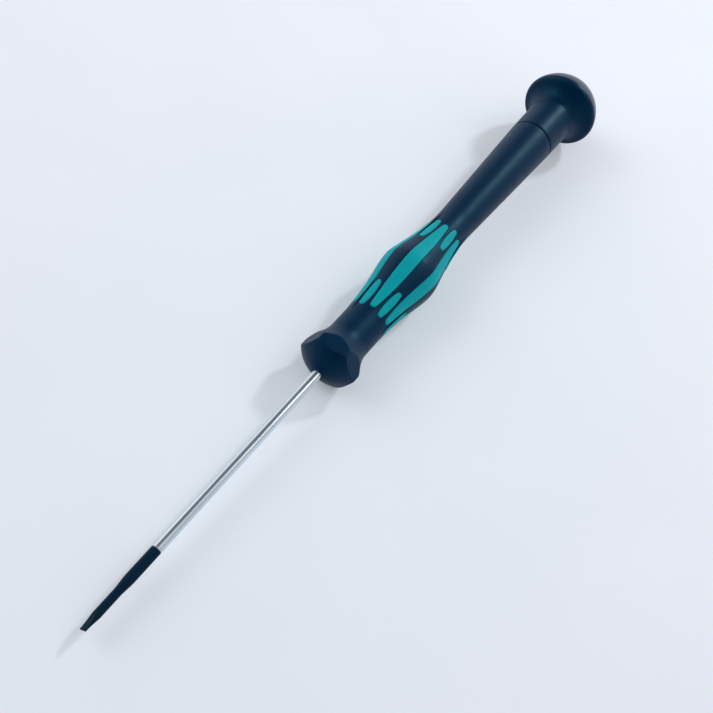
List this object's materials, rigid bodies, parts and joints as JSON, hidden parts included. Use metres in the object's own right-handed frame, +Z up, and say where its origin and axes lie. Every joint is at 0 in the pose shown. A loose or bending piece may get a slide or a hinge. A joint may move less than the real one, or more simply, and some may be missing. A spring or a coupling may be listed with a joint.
{
  "type": "precision slotted screwdriver",
  "caption": "Precision slotted screwdriver with a round steel blade, a waisted handle with soft inlays, a six-sided anti-roll collar and a free-turning domed cap.",
  "frame": {"origin": "on the tool's axis, in the plane of the collar's front rim, where the blade comes out", "axes": "+X along the tool from the tip towards the cap, +Z up away from the surface on which a flat of the collar lies"},
  "size_m": [0.155, 0.0162, 0.0162],
  "materials": {
    "blade_steel": "bright ground rod, black-finished over the working end",
    "core_plastic": "moulded, hidden inside the handle",
    "handle_plastic": "satin moulded",
    "crown_plastic": "satin moulded",
    "grip_rubber": "soft matt elastomer",
    "washer_plastic": "low-friction plastic",
    "axle_steel": "ground",
    "ring_steel": "spring steel",
    "bush_brass": "plain bearing"
  },
  "bodies": {
    "handle": {"blade": "blade_steel", "handle_core": "core_plastic", "handle_shell": "handle_plastic", "grip_long_1": "grip_rubber", "grip_long_2": "grip_rubber", "grip_long_3": "grip_rubber", "grip_long_4": "grip_rubber", "grip_long_5": "grip_rubber", "grip_long_6": "grip_rubber", "grip_front_1": "grip_rubber", "grip_front_2": "grip_rubber", "grip_front_3": "grip_rubber", "grip_front_4": "grip_rubber", "grip_front_5": "grip_rubber", "grip_front_6": "grip_rubber", "grip_rear_1": "grip_rubber", "grip_rear_2": "grip_rubber", "grip_rear_3": "grip_rubber", "grip_rear_4": "grip_rubber", "grip_rear_5": "grip_rubber", "grip_rear_6": "grip_rubber", "thrust_washer": "washer_plastic", "cap_axle": "axle_steel", "retaining_ring": "ring_steel"},
    "cap": {"cap_bush": "bush_brass", "cap_shell": "handle_plastic", "cap_crown": "crown_plastic"}
  },
  "joints": [
    {"name": "cap_spin", "type": "hinge", "parent": "handle", "child": "cap", "pos_m": [0.0739, 0, 0], "axis": [1, 0, 0], "continuous": true}
  ]
}
